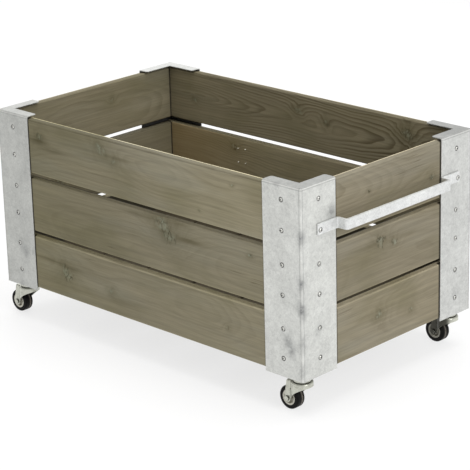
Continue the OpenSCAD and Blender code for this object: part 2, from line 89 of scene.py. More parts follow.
class Graph:
    """A node tree that is written as calls; each call adds a node and returns its socket."""

    def __init__(self, tree):
        self.tree = tree

    def node(self, kind, inputs=None, **settings):
        made = self.tree.nodes.new(kind)
        count = len(self.tree.nodes)
        made.location = (200 * (count % 10), -220 * (count // 10))
        for name, value in settings.items():
            setattr(made, name, value)
        for key, value in (inputs or {}).items():
            self.feed(made.inputs[key], value)
        return made

    def feed(self, socket, value):
        if isinstance(value, bpy.types.NodeSocket):
            self.tree.links.new(value, socket)
        else:
            socket.default_value = value

    def group(self, tree, **inputs):
        """The outputs of a node group, its inputs fed by name."""
        return self.node("ShaderNodeGroup", inputs, node_tree=tree).outputs

    # numbers

    def math(self, operation, *values):
        return self.node("ShaderNodeMath", dict(enumerate(values)), operation=operation).outputs[0]

    def chain(self, operation, values):
        """Several values joined by one operation, from the left."""
        result = values[0]
        for value in values[1:]:
            result = self.math(operation, result, value)
        return result

    def add(self, *values):
        return self.chain("ADD", values)

    def mul(self, *values):
        return self.chain("MULTIPLY", values)

    def most(self, *values):
        return self.chain("MAXIMUM", values)

    def sub(self, a, b):
        return self.math("SUBTRACT", a, b)

    def divide(self, a, b):
        return self.math("DIVIDE", a, b)

    def absolute(self, value):
        return self.math("ABSOLUTE", value)

    def hypotenuse(self, a, b):
        return self.math("SQRT", self.add(self.mul(a, a), self.mul(b, b)))

    def step(self, value, low, high, to_low=0.0, to_high=1.0):
        """A smooth step from one value to another between two limits."""
        inputs = dict(enumerate((value, low, high, to_low, to_high)))
        made = self.node("ShaderNodeMapRange", inputs, interpolation_type="SMOOTHSTEP")
        return made.outputs[0]

    def bell(self, distance, width):
        """1 at no distance, falling off to nothing past about twice the width."""
        share = self.divide(distance, width)
        return self.math("EXPONENT", self.mul(share, share, -1.0))

    # places

    def place(self):
        return self.node("ShaderNodeTexCoord").outputs["Object"]

    def vector(self, operation, *values):
        return self.node("ShaderNodeVectorMath", dict(enumerate(values)), operation=operation)

    def scaled(self, place, scale):
        return self.vector("MULTIPLY", place, scale).outputs[0]

    def away(self, place, point):
        """The way to a place from a point."""
        return self.vector("SUBTRACT", place, point).outputs[0]

    def length(self, place):
        return self.vector("LENGTH", place).outputs["Value"]

    def split(self, place):
        return self.node("ShaderNodeSeparateXYZ", {0: place}).outputs

    def join(self, x, y, z):
        return self.node("ShaderNodeCombineXYZ", {0: x, 1: y, 2: z}).outputs[0]

    # textures

    def noise(self, place, scale, detail=2.0, rough=0.5, seed=0.0):
        """A noise from its repeats per metre, its layers of detail, their roughness and its seed."""
        inputs = {"Vector": place, "W": seed, "Scale": scale, "Detail": detail, "Roughness": rough}
        return self.node("ShaderNodeTexNoise", inputs, noise_dimensions="4D").outputs["Fac"]

    def fibres(self, place, along, across, detail, rough, seed):
        """Noise that is drawn out along X, the way of the grain."""
        return self.noise(self.scaled(place, (along, across, across)), 1.0, detail, rough, seed)

    def swing(self, noise):
        """A noise moved to either side of 0."""
        return self.sub(noise, 0.5)

    def vein(self, noise):
        """0 on the lines where a noise crosses its middle."""
        return self.absolute(self.swing(noise))

    # colours and normals

    def mix(self, share, a, b, blend="MIX"):
        made = self.node("ShaderNodeMix", {0: share, 6: a, 7: b}, data_type="RGBA", blend_type=blend)
        return made.outputs[2]

    def cover(self, color, other, *shares):
        """A colour covered by another, as far as the product of the shares says."""
        return self.mix(self.mul(*shares), color, other)

    def shade(self, color, light):
        """A colour times a brightness."""
        grey = self.node("ShaderNodeCombineColor", {0: light, 1: light, 2: light}).outputs[0]
        return self.mix(1.0, color, grey, "MULTIPLY")

    def bump(self, height, distance, strength, normal=None):
        inputs = {"Height": height, "Distance": distance, "Strength": strength}
        if normal is not None:
            inputs["Normal"] = normal
        return self.node("ShaderNodeBump", inputs).outputs[0]


class Group(Graph):
    """A node group with named inputs and outputs."""

    def __init__(self, name, inputs, outputs):
        super().__init__(bpy.data.node_groups.new(name, "ShaderNodeTree"))
        for way, sockets in (("INPUT", inputs), ("OUTPUT", outputs)):
            for title, kind in sockets.items():
                self.tree.interface.new_socket(title, in_out=way, socket_type="NodeSocket" + kind)
        self.given = list(self.node("NodeGroupInput").outputs)[:len(inputs)]
        self.result = self.node("NodeGroupOutput").inputs

    def give(self, **values):
        for title, value in values.items():
            self.feed(self.result[title], value)


class Finish(Graph):
    """A new material; what is the same all over it is set on the shader's own sockets."""

    def __init__(self, name, rough=0.5, metal=0.0, specular=0.5):
        self.material = bpy.data.materials.new(name)
        self.material.use_nodes = True
        super().__init__(self.material.node_tree)
        self.shader = self.tree.nodes["Principled BSDF"].inputs
        for title, value in (("Roughness", rough), ("Metallic", metal), ("Specular IOR Level", specular)):
            self.shader[title].default_value = value

    def give(self, color, rough, normal):
        """Wires what changes over the surface, and returns the material."""
        for title, value in (("Base Color", color), ("Roughness", rough), ("Normal", normal)):
            self.feed(self.shader[title], value)
        return self.material


# ---- timber ----

PALE_GRAIN = srgb(134, 127, 105)
DARK_GRAIN = srgb(88, 79, 58)
OLIVE = srgb(109, 104, 77)
SILVER = srgb(137, 134, 118)
KNOT_PALE = srgb(140, 144, 124)
KNOT_DULL = srgb(84, 79, 54)
KNOT_DARK = srgb(62, 54, 33)
STREAK_COLOR = srgb(82, 75, 50)
WARM = srgb(158, 131, 86)
# painted shade in the boards' gaps and seams
BOARD_SHADE = srgb(34, 29, 21)

# The width of a year's ring, and how far the pith wanders across and deep and the rings ripple
RING_GAP = 6.5 * MM
PITH_SWAY = 90 * MM
PITH_DRIFT = 120 * MM
RING_RIPPLE = 9 * MM

# The timber's noises: repeats per metre along and across the grain, detail, roughness and shift of the seed
TIMBER_NOISES = {
    "drift": (2.2, 3.0, 1.0, 0.5, 0.0),
    "sway": (1.6, 2.5, 1.0, 0.5, 9.0),
    "ripple": (9.0, 28.0, 2.0, 0.5, 0.0),
    "fade": (3.0, 7.0, 2.0, 0.5, 3.0),
    "streak": (3.0, 95.0, 4.0, 0.62, 0.0),
    "hair": (5.0, 260.0, 2.0, 0.55, 17.0),
    "fibre": (22.0, 900.0, 3.0, 0.6, 0.0),
    "blotch": (4.5, 8.0, 3.0, 0.55, 5.0),
    "bleach_and_gap_light": (2.2, 11.0, 3.0, 0.6, 12.0),
    "check": (2.0, 120.0, 1.0, 0.5, 21.0),
    "check_patch": (5.0, 16.0, 1.0, 0.5, 0.0),
}

# How the fine noises change the brightness: their limits, and the brightness at the two
GRAIN_LIGHT = {
    "streak": (0.25, 0.75, 0.9, 1.08),
    "hair": (0.3, 0.7, 0.91, 1.06),
    "fibre": (0.2, 0.8, 0.9, 1.08),
}

# Knots by board: from its middle, along the grain and up, in mm, then the radius, in mm, and how dark
# the strokes are
KNOTS = {
    "front_board_top": [(-126, 38, 11, 0.5), (-86, 20, 8, 0.5), (-342, 30, 8, 0.9), (187, -39, 2, 1.3),
                        (290, 39, 3, 0.8)],
    "front_board_mid": [(66, 50, 17, 0.8), (92, 24, 15, 1.1), (338, 37, 5, 1.0)],
    "front_board_low": [(-266, -5, 13, 1.1), (-112, -12, 6, 0.5), (265, -4, 4, 0.6)],
    "right_board_top": [(-68, 12, 3, 1.4), (147, -6, 7, 0.9)],
    "right_board_mid": [(-28, 33, 11, 1.3), (18, 20, 7, 1.1)],
    "right_board_low": [(-34, 5, 9, 0.8), (76, -13, 6, 0.5)],
    "back_board_top": [(320, 30, 12, 1.0), (-22, 27, 8, 0.5), (68, 11, 7, 0.6), (-379, -6, 5, 0.6)],
    "back_board_mid": [(-240, 39, 8, 1.6), (200, -9, 9, 0.8)],
    "back_board_low": [(70, 6, 8, 0.9)],
    "left_board_top": [(60, 24, 5, 0.7)],
    "left_board_mid": [(-120, 0, 9, 0.8)],
    "left_board_low": [(90, 16, 7, 0.8)],
    "floor_board_2": [(80, 12, 10, 0.9)],
    "floor_board_5": [(-60, -15, 9, 0.9)],
}

# Pith by board: its offset across the face and its depth behind it, in mm, its slope along the grain,
# and how strongly the rings show; the other boards draw theirs
PITHS = {
    "front_board_top": (30, 60, 0.03, 0.36),
    "front_board_mid": (-25, 75, -0.04, 0.26),
    "front_board_low": (10, 85, 0.05, 0.22),
    "right_board_top": (40, 60, 0.10, 0.4),
    "right_board_mid": (-20, 90, 0.05, 0.3),
    "right_board_low": (15, 80, -0.06, 0.28),
    "back_board_top": (5, 45, 0.06, 1.35),
    "back_board_mid": (-30, 60, 0.05, 0.6),
    "left_board_top": (-15, 110, 0.03, 0.4),
    "left_board_mid": (20, 100, -0.04, 0.4),
}
USUAL_FIGURE = 0.6

# Dark streaks by board: the middle along the grain and up, half the length and half the height, in mm,
# and the strength
STREAKS = {
    "front_board_top": [(-345, 20, 38, 9, 0.8), (-300, 4, 46, 7, 0.6), (-60, 27, 40, 5, 0.45),
                        (372, 22, 34, 26, 0.35)],
    "front_board_mid": [(150, 27, 48, 7, 0.7), (-8, 56, 52, 5, 0.7), (118, 61, 36, 4, 0.6),
                        (-250, 20, 70, 6, 0.25)],
    "front_board_low": [(-322, 18, 56, 6, 0.55), (-246, 12, 34, 5, 0.45), (-60, -30, 60, 6, 0.25)],
    "right_board_mid": [(-70, 30, 36, 5, 0.4), (60, 26, 34, 5, 0.3)],
}

# Brightness at the two ends of a board, where it changes along the grain or isn't the usual
FADES = {"front_board_top": (0.78, 1.3), "front_board_mid": (0.82, 1.04), "front_board_low": (0.86, 1.09),
         "right_board_mid": (0.95, 0.95), "right_board_low": (1.06, 1.06), "left_board_mid": (0.9, 0.9)}

# The same for the face that looks into the crate alone
INNER_FADES = {"back_board_mid": (1.4, 1.05)}

# How strongly the rings show at the two ends of a board, as a share of its figure
FIGURE_FADES = {"back_board_top": (0.35, 1.15)}

# The left ends of the front boards are more olive, by this tint
LEFT_OLIVE = (1.0, 1.0, 0.9, 1.0)

# Boards whose inner face is browner at the left end, and how far along the grain
WARM_ENDS = ("back_board_mid",)
WARM_REACH = 400 * MM

# Painted shade on the face that looks into the crate: the brightness of a low board's, deep in the crate,
# and of a middle one's at its lower edge
LOW_INNER_LIGHT = 0.22
MID_INNER_LIGHT = 0.62

# Boards with less painted shade than usual on the upper arris: the share of it left and right of this
# stretch
LESS_SHADE = {"front_board_mid": (1.0, 0.3), "front_board_low": (0.5, 0.5)}
LESS_SHADE_STRETCH = (-100 * MM, 250 * MM)

# The line of painted shade beside a flange on a short and on a long board, and where it ends, as a share of
# its width
SHORT_SEAM = 2.5 * MM
LONG_SEAM = 1.5 * MM
SEAM_END = 2.4

# How far each kind of painted shade is full and reaches: from a short board's end, and in a gap from the
# inner face and down from the upper edge
CORNER_SEAM = (2 * MM, 5.5 * MM)
SHADED_ARRIS = (4 * MM, 7 * MM)
SHADED_EDGE = (1 * MM, 3 * MM)

# Where a board's outer side begins, off the middle of its thickness, and how deep its inner face is coloured
OUTER_SIDE = (0.0, 3 * MM)
INNER_SKIN = (0.2 * MM, 2 * MM)

# How far each kind of painted light on a board's edges is full and reaches: down from the upper edge, up
# from the lower edge, in from the rim's arris, and in a gap off the middle of the board's thickness
UPPER_EDGE_LIGHT = (3 * MM, 4.5 * MM)
LOWER_EDGE_LIGHT = (1 * MM, 4 * MM)
RIM_ARRIS = (5.5 * MM, 6.5 * MM)
GAP_CROWN = (3 * MM, 7.5 * MM)

# The painted highlight that the lower edge adds to its brightness, and the share of a gap's painted light
# that its arrises get
LOWER_HIGHLIGHT = 0.45
ARRIS_LIGHT_SHARE = 0.72

# Painted light: how much paler than its face a board's upper edge is in a gap, where it isn't the usual
GAP_LIGHT = {"front_board_mid": 1.35, "front_board_low": 2.0, "right_board_low": 1.9, "left_board_mid": 0.9,
              "back_board_mid": 1.3}
USUAL_GAP_LIGHT = 1.6

# Painted shade on the flat of the crate's rim and a painted highlight on its arris on the side away from the
# camera: the brightness of each
RIM_LIGHT = {"front_board_top": (0.65, 2.5), "right_board_top": (0.9, 2.2), "back_board_top": (0.6, 1.5),
            "left_board_top": (0.75, 1.6)}


def make_knot_group():
    """One knot: its pull on the rings, its pale heart, its dark strokes and the dull wood round it."""
    group = Group("knot", {"Place": "Vector", "Middle": "Vector", "Radius": "Float", "Seed": "Float"},
                  {"Pull": "Float", "Heart": "Float", "Stroke": "Float", "Dull": "Float"})
    place, middle, radius, seed = group.given
    along, across = group.split(group.away(place, middle))[:2]
    bend = group.swing(group.noise(place, 38.0, 2.0, 0.5, group.add(seed, 7.0)))
    reach = group.mul(bend, radius, 3.0)
    flat = group.join(group.mul(group.add(along, reach), 0.8), group.sub(across, reach), 0.0)
    near = group.divide(group.length(flat), radius)
    pull = group.mul(group.bell(near, 2.6), group.mul(radius, 1.7))
    dull = group.mul(group.bell(near, 2.2), group.step(bend, -0.15, 0.15, 0.5, 1.0))

    wobble = group.noise(place, 75.0, 3.0, 0.6, seed)
    near = group.mul(near, group.add(0.45, group.mul(wobble, 1.1)))
    heart = group.mul(group.step(near, 0.3, 1.3, 1.0, 0.0), group.step(wobble, 0.35, 0.6))
    vein = group.vein(group.fibres(place, 75.0, 46.0, 3.0, 0.5, group.add(seed, 3.0)))
    stroke = group.mul(group.step(vein, 0.0, 0.075, 1.0, 0.0), group.step(near, 0.6, 1.6, 1.0, 0.0))
    group.give(Pull=pull, Heart=heart, Stroke=stroke, Dull=dull)
    return group.tree


def growth_rings(group, place, pith, slope, pull, seed, noise):
    """How dark the late wood of each year is, on rings round a wandering pith."""
    along = group.split(place)[0]
    off = group.split(group.away(place, pith))
    across = group.add(off[1], group.mul(group.swing(noise["sway"]), PITH_SWAY))
    deep = group.add(off[2], group.mul(along, slope), group.mul(group.swing(noise["drift"]), PITH_DRIFT))
    ripple = group.mul(group.swing(noise["ripple"]), RING_RIPPLE)
    turn = group.divide(group.add(group.hypotenuse(across, deep), pull, ripple), RING_GAP)

    share = group.math("FRACT", turn)
    year = group.node("ShaderNodeTexWhiteNoise", {"W": group.add(group.math("FLOOR", turn), seed)},
                      noise_dimensions="1D").outputs["Value"]
    late = group.mul(group.step(share, 0.25, 0.88), group.step(share, 0.88, 1.0, 1.0, 0.0))
    fade = group.step(noise["fade"], 0.35, 0.68)
    return group.mul(late, group.add(0.35, group.mul(year, 0.65)), group.add(0.35, group.mul(fade, 0.65)))


def make_timber_group():
    """Sawn timber: growth rings round a pith behind the face, fibres, blotches and checks."""
    group = Group("sawn_timber",
                  {"Place": "Vector", "Pith": "Vector", "Slope": "Float", "Seed": "Float", "Figure": "Float",
                   "Pull": "Float", "Heart": "Float", "Stroke": "Float", "Dull": "Float"},
                  {"Color": "Color", "Roughness": "Float", "Height": "Float"})
    place, pith, slope, seed, figure, pull, heart, stroke, dull = group.given
    noise = {title: group.fibres(place, *sizes, group.add(seed, shift))
             for title, (*sizes, shift) in TIMBER_NOISES.items()}
    ring = growth_rings(group, place, pith, slope, pull, seed, noise)
    check = group.mul(group.step(group.vein(noise["check"]), 0.003, 0.012, 1.0, 0.0),
                      group.step(noise["check_patch"], 0.6, 0.7))

    color = group.cover(PALE_GRAIN, DARK_GRAIN, ring, figure)
    color = group.cover(color, OLIVE, group.step(noise["blotch"], 0.42, 0.72, 0.0, 0.6))
    color = group.cover(color, SILVER, group.step(noise["bleach_and_gap_light"], 0.45, 0.75, 0.0, 0.6))
    for title, limits in GRAIN_LIGHT.items():
        color = group.shade(color, group.step(noise[title], *limits))
    color = group.cover(color, KNOT_DULL, dull, 0.5)
    color = group.cover(color, KNOT_PALE, heart, 0.6)
    color = group.cover(color, KNOT_DARK, stroke, 0.62)
    color = group.cover(color, KNOT_DARK, check, 0.45)

    rough = group.add(0.66, group.mul(noise["streak"], 0.16), group.mul(noise["fibre"], 0.10))
    height = group.add(group.mul(noise["fibre"], 0.45), group.mul(noise["streak"], 0.4),
                       group.mul(ring, -0.35), group.mul(check, -0.7), group.mul(stroke, -0.5),
                       group.mul(heart, 0.25))
    group.give(Color=color, Roughness=rough, Height=height)
    return group.tree


KNOT = make_knot_group()
TIMBER = make_timber_group()


def board_axes(name):
    """The row axes along the grain, across the face and out of it, and which way the face looks."""
    if name.startswith("floor_board"):
        return (1, 0, 2), 1.0
    if name.startswith(("left", "right")):
        return (1, 2, 0), -1.0 if name.startswith("left") else 1.0
    return (0, 2, 1), 1.0 if "back" in name else -1.0


def board_place(graph, name):
    """A place along and across the board's grain and out of its face, and half the board's size in each."""
    axes, outward = board_axes(name)
    low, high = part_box(name)
    row = graph.split(graph.away(graph.place(), (low + high) / 2))
    along, across, out = (row[axis] for axis in axes)
    half = [((high - low) / 2)[axis] for axis in axes]
    return graph.join(along, across, graph.mul(out, outward)), half


def end_to_end(graph, place, half, ends):
    """A value that changes along the grain, from the left or front end of a board to the other."""
    return graph.step(graph.split(place)[0], -half[0], half[0], *ends)


def knot_marks(graph, place, name, seed):
    """What all the knots of a board do to its grain."""
    marks = {"Pull": 0.0, "Heart": 0.0, "Stroke": 0.0, "Dull": 0.0}
    for number, (along, across, radius, dark) in enumerate(KNOTS.get(name, [])):
        knot = graph.group(KNOT, Place=place, Middle=(along * MM, across * MM, 0.0), Radius=radius * MM,
                           Seed=float(seed + number))
        for title in marks:
            part = graph.mul(knot[title], dark) if title == "Stroke" else knot[title]
            marks[title] = graph.add(marks[title], part)
    return marks


def draw_streaks(graph, place, color, streaks):
    """Dark streaks of grain, broken along the fibres."""
    if not streaks:
        return color
    broken = graph.step(graph.fibres(place, 9.0, 150.0, 3.0, 0.6, 41.0), 0.36, 0.56, 0.35, 1.0)
    for along, across, half_length, half_height, strength in streaks:
        away = graph.away(place, (along * MM, across * MM, 0.0))
        flat = graph.scaled(away, (1 / (half_length * MM), 1 / (half_height * MM), 0.0))
        color = graph.cover(color, STREAK_COLOR, graph.bell(graph.length(flat), 1.0), broken, strength)
    return color


def gap_and_seam_shade(graph, place, half, name):
    """Painted shade on the sheltered arris of a gap, in the corner seams and along the bracket's flange."""
    along, across, depth = graph.split(place)[:3]
    length, width, thickness = half
    short = name.startswith(("left", "right"))
    from_end = graph.sub(length, graph.absolute(along))
    covered = length - (CRATE_HALF.y if short else CRATE_HALF.x) + FLANGE
    seam = SHORT_SEAM if short else LONG_SEAM
    contact = graph.step(from_end, covered + seam, covered + SEAM_END * seam, 0.9, 0.0)
    shares = [graph.mul(contact, graph.step(depth, *OUTER_SIDE))]
    if not name.endswith("top") and name.startswith(("front", "right")):
        arris = graph.step(graph.add(depth, thickness), *SHADED_ARRIS, 0.9, 0.0)
        if name in LESS_SHADE:
            arris = graph.mul(arris, graph.step(along, *LESS_SHADE_STRETCH, *LESS_SHADE[name]))
        shares.append(graph.mul(graph.step(graph.sub(width, across), *SHADED_EDGE, 1.0, 0.0), arris))
    if short:
        shares.append(graph.step(from_end, *CORNER_SEAM, 0.95, 0.0))
    return graph.most(*shares)


def edge_light(graph, place, half, name):
    """Painted light on a board's edges: paler in a gap, painted shade on the rim, a painted highlight on its
    far arris.
    """
    across, depth = graph.split(place)[1:3]
    width, thickness = half[1:]
    upper = graph.step(graph.sub(width, across), *UPPER_EDGE_LIGHT, 1.0, 0.0)
    lower = graph.step(graph.add(width, across), *LOWER_EDGE_LIGHT, 1.0, 0.0)
    if name.endswith("top"):
        flat, arris = RIM_LIGHT[name]
        inner_arris = name.startswith(("front", "right"))
        from_arris = graph.add(thickness, depth) if inner_arris else graph.sub(thickness, depth)
        painted_light = graph.step(from_arris, *RIM_ARRIS, arris, flat)
    else:
        bleach_and_gap_light = GAP_LIGHT.get(name, USUAL_GAP_LIGHT)
        painted_light = graph.step(graph.absolute(depth), *GAP_CROWN, bleach_and_gap_light, ARRIS_LIGHT_SHARE * bleach_and_gap_light)
    painted_light = graph.add(1.0, graph.mul(upper, graph.sub(painted_light, 1.0)))
    # a painted highlight along the lower edge
    return graph.add(painted_light, graph.mul(lower, LOWER_HIGHLIGHT))


def inner_face(graph, place, half):
    """1 on the face that looks into the crate."""
    return graph.step(graph.add(graph.split(place)[2], half[2]), *INNER_SKIN, 1.0, 0.0)


def inner_light(graph, place, half, name):
    """Painted shade on the face that looks into the crate: its brightness, darker towards the floor."""
    across = graph.split(place)[1]
    light = LOW_INNER_LIGHT
    if name.endswith("mid"):
        light = graph.step(across, -half[1], 0.0, MID_INNER_LIGHT, 1.0)
    if name in INNER_FADES:
        light = graph.mul(light, end_to_end(graph, place, half, INNER_FADES[name]))
    return graph.add(1.0, graph.mul(inner_face(graph, place, half), graph.sub(light, 1.0)))


def weathered(graph, place, half, name, color):
    """A side board's colour with its fades, painted light on its edges, painted shade inside the crate and
    in its gaps.
    """
    along = graph.split(place)[0]
    if name in FADES:
        color = graph.shade(color, end_to_end(graph, place, half, FADES[name]))
    if name.startswith("front"):
        color = graph.mix(graph.step(along, -half[0], 0.0, 1.0, 0.0), color, LEFT_OLIVE, "MULTIPLY")
    # painted light and shade on the board's edges, and painted shade on its face inside the crate
    light = edge_light(graph, place, half, name)
    if not name.endswith("top"):
        light = graph.mul(light, inner_light(graph, place, half, name))
    color = graph.shade(color, light)
    if name in WARM_ENDS:
        warm = graph.step(along, -half[0], WARM_REACH - half[0], 0.5, 0.0)
        color = graph.cover(color, WARM, warm, inner_face(graph, place, half))
    # painted shade in the gaps, the corner seams and beside the flanges
    return graph.cover(color, BOARD_SHADE, gap_and_seam_shade(graph, place, half, name))


def timber(name, seed, tint):
    """The timber of one board, its grain along the board and its rings round a pith behind its face."""
    graph = Finish("timber_" + name, specular=0.25)
    place, half = board_place(graph, name)
    chance = random.Random(seed)
    usual = (chance.uniform(-40, 40), chance.uniform(50, 90), chance.uniform(-0.08, 0.08), USUAL_FIGURE)
    offset, depth, slope, figure = PITHS.get(name, usual)
    if name in FIGURE_FADES:
        figure = graph.mul(end_to_end(graph, place, half, FIGURE_FADES[name]), figure)
    grain = graph.group(TIMBER, Place=place, Pith=(0.0, offset * MM, -depth * MM), Slope=slope,
                        Seed=float(seed), Figure=figure, **knot_marks(graph, place, name, seed))
    color = graph.mix(1.0, grain["Color"], tint, "MULTIPLY")
    color = draw_streaks(graph, place, color, STREAKS.get(name, []))
    if name.startswith(SIDES):
        color = weathered(graph, place, half, name, color)
    normal = graph.bump(grain["Height"], distance=0.5 * MM, strength=0.6)
    return graph.give(color, grain["Roughness"], normal)


# ---- metals, rubber and plastic ----

ZINC_GLINT = srgb(250, 249, 244)
ZINC_DULL = srgb(120, 121, 120)
ZINC_SMUDGE = srgb(84, 86, 90)
# painted shade on the inner side of a flange
FLANGE_SHADE = srgb(34, 33, 31)
# painted shade round screws and in nooks
SCREW_SHADE = srgb(44, 44, 42)
PLATED_GLINT = srgb(246, 245, 236)
PLATED_DULL = srgb(88, 84, 72)
# painted shade in nooks and in the screws' recesses
PLATED_SHADE = srgb(26, 25, 22)
# painted shade in the fork's crease
CREASE_SHADE = srgb(92, 92, 78)
# painted shade on the castors' inward sides
FORK_SHADE = srgb(38, 35, 28)
RUBBER_BLACK = srgb(13, 12, 11)
RUBBER_DUST = srgb(34, 32, 30)
# a painted highlight on the tread
RUBBER_SHEEN = srgb(116, 110, 102)
HUB_GREY = srgb(196, 193, 180)
HUB_GRIME = srgb(112, 108, 94)
# painted shade on the hub's inward side
HUB_SHADE = srgb(78, 76, 66)

# Across a bracket's fold, from its outer face: the ridge, where a highlight is painted, the dull line beside
# it and the width of both
FOLD_RIDGE = 2.5 * MM
FOLD_LINE = 5 * MM
FOLD_WIDTH = 1.2 * MM

# The ring of painted shade round a screw: how far out of the head, its width, and the recess in the head,
# which is painted dark
SCREW_RING = 0.8 * MM
SCREW_RING_WIDTH = 1.2 * MM
SCREW_RECESS = (1.4 * MM, 2.4 * MM)

# The painted shade in the crease between a fork's leg and its skirt: how far behind the king pin, its width,
# and the heights that it fades in between
CREASE_BACK = 18.5 * MM
CREASE_WIDTH = 1.6 * MM
CREASE_FOOT = (34 * MM, 42 * MM)

# The pale line on a tread, a painted highlight: how far from its middle, towards the crate's middle, and its
# width
TREAD_LINE = 3 * MM
TREAD_LINE_WIDTH = 2.2 * MM

# Painted shade on the inner side of a flange: how deep in the sheet it begins and is full, how far from the
# crate's top and foot it is still full and ends, and its strength
UNDERSIDE = (0.6 * SHEET, 0.9 * SHEET)
FLANGE_SHADE_STOP = (20 * MM, 10 * MM)
FLANGE_SHADE_SHARE = 0.85

# Painted shade on a lip: how far under its top face it begins and is full
LIP_SKIN = (2.5 * MM, 0.5 * MM)

# Smudges by bracket: from the crate's foot along X, Y and up, in mm, then the radius and the strength
STAINS = {
    "bracket_front_right": [(490, -290, 401, 7, 0.44), (490, -290, 326, 12, 0.94),
                            (490, -290, 226, 12, 0.88), (490, -290, 165, 13, 1.0),
                            (490, -290, 89, 11, 0.62), (490, -290, 27, 10, 0.56),
                            (490, -195, 362, 12, 0.75), (447, -290, 86, 16, 0.62),
                            (458, -290, 66, 12, 0.69), (490, -240, 104, 12, 0.38),
                            (421, -290, 434, 10, 0.44)],
    "bracket_front_left": [(-430, -290, 106, 10, 0.44), (-414, -290, 92, 12, 0.56),
                           (-386, -290, 95, 5, 0.5), (-435, -290, 6, 10, 0.5), (-400, -290, 300, 19, 0.19)],
    "bracket_back_right": [(490, 238, 60, 13, 0.25), (490, 210, 330, 14, 0.19)],
    "bracket_back_left": [(-490, 240, 120, 14, 0.5), (-420, 290, 300, 13, 0.5),
                          (-490, 290, 210, 12, 0.75)],
}


def edge_glint(graph, radius):
    """The normal with the edges eased, and a mask that is 1 on the edges, for a painted highlight."""
    eased = graph.node("ShaderNodeBevel", {"Radius": radius}, samples=6).outputs[0]
    plain = graph.node("ShaderNodeNewGeometry").outputs["Normal"]
    match = graph.vector("DOT_PRODUCT", eased, plain).outputs["Value"]
    return eased, graph.step(match, 0.72, 0.985, 1.0, 0.0)


def from_screw(graph, place):
    """The distance from the axis of the nearest bracket screw."""
    away = graph.split(graph.away(place, CRATE_FOOT))
    x, y = (graph.absolute(graph.sub(graph.absolute(away[axis]), CRATE_HALF[axis] - SCREW_INSET))
            for axis in (0, 1))
    course = graph.divide(graph.sub(away[2], LOWEST_PAIR), COURSE_PITCH)
    up = graph.mul(graph.sub(graph.math("FRACT", graph.add(course, 0.5)), 0.5), COURSE_PITCH)
    up = graph.sub(graph.absolute(up), SCREW_PAIR / 2)
    return graph.hypotenuse(graph.math("MINIMUM", x, y), up)


def nook_shade(graph, reach, most):
    """Painted shade where another surface stands within reach, as round a screw's head."""
    open_share = graph.node("ShaderNodeAmbientOcclusion", {"Distance": reach}, samples=8).outputs["AO"]
    return graph.step(open_share, 0.35, 0.92, most, 0.0)


def screw_ring(graph, place):
    """A broken ring of painted shade round every screw of a bracket."""
    ring = graph.bell(graph.sub(from_screw(graph, place), SCREW_HEAD + SCREW_RING), SCREW_RING_WIDTH)
    return graph.mul(ring, graph.step(graph.noise(place, 160.0, 1.0, 0.5, 31.0), 0.36, 0.54, 0.35, 1.0))


def make_stain_group():
    """A cloudy smudge round a point, warped and broken by noise."""
    group = Group("stain", {"Place": "Vector", "Middle": "Vector", "Radius": "Float"}, {"Share": "Float"})
    place, middle, radius = group.given
    away = group.scaled(group.away(place, middle), (1.0, 1.0, 0.6))
    cloud = group.noise(place, 110.0, 5.0, 0.7, 14.0)
    near = group.divide(group.length(away), radius)
    near = group.mul(near, group.add(0.2, group.mul(cloud, 1.6)))
    vein = group.vein(group.noise(place, 42.0, 3.0, 0.6, 6.0))
    drawn = group.add(group.step(vein, 0.0, 0.13, 0.55, 0.25), group.step(cloud, 0.4, 0.7, 0.0, 0.4))
    group.give(Share=group.mul(group.bell(near, 0.9), drawn))
    return group.tree


STAIN = make_stain_group()


def from_faces(graph, place):
    """How far a place is inside the crate's end face and its long face, and off its middle height."""
    away = graph.split(graph.vector("ABSOLUTE", graph.away(place, CRATE_MIDDLE)).outputs[0])
    return graph.sub(CRATE_HALF.x, away[0]), graph.sub(CRATE_HALF.y, away[1]), away[2]


def flange_back_shade(graph, place):
    """Painted shade on the side of a flange that lies against the boards, which shows black in the gaps."""
    from_end, from_side, height = from_faces(graph, place)
    under = graph.math("MINIMUM", from_end, from_side)
    limits = (CRATE_HALF.z - stop for stop in FLANGE_SHADE_STOP)
    return graph.mul(graph.step(under, *UNDERSIDE), graph.step(height, *limits, FLANGE_SHADE_SHARE, 0.0))


def fold_marks(graph, place, color):
    """A painted highlight on the ridge with a dull line beside it, along the upright fold and along the fold
    of the lip.
    """
    from_end, from_side = from_faces(graph, place)[:2]
    upright = graph.most(from_end, from_side)
    lip = graph.sub(CRATE_HIGH.z, graph.split(place)[2])
    broken = graph.step(graph.noise(place, 45.0, 3.0, 0.6, 19.0), 0.3, 0.6, 0.4, 1.0)
    for distance, strength in ((upright, 0.12), (lip, 0.3)):
        line = graph.bell(graph.sub(distance, FOLD_LINE), FOLD_WIDTH)
        color = graph.cover(color, ZINC_DULL, broken, 0.45, line)
        # a painted highlight along the ridge
        ridge = graph.bell(graph.sub(distance, FOLD_RIDGE), FOLD_WIDTH)
        color = graph.cover(color, ZINC_GLINT, ridge, strength)
    return color


def bracket_marks(graph, place, color, stains, lip):
    """The marks of one bracket: its folds, the painted shade of its lip, its smudges and painted shade on
    its inner side.
    """
    color = fold_marks(graph, place, color)
    # painted shade on the lip's top
    limits = (CRATE_HIGH.z - depth for depth in LIP_SKIN)
    color = graph.shade(color, graph.step(graph.split(place)[2], *limits, 1.0, lip))
    for x, y, z, radius, strength in stains:
        middle = CRATE_FOOT + Vector((x, y, z)) * MM
        stain = graph.group(STAIN, Place=place, Middle=middle, Radius=radius * MM)
        color = graph.cover(color, ZINC_SMUDGE, stain["Share"], strength)
    # painted shade on the flange's inner side, seen in the gaps
    return graph.cover(color, FLANGE_SHADE, flange_back_shade(graph, place))


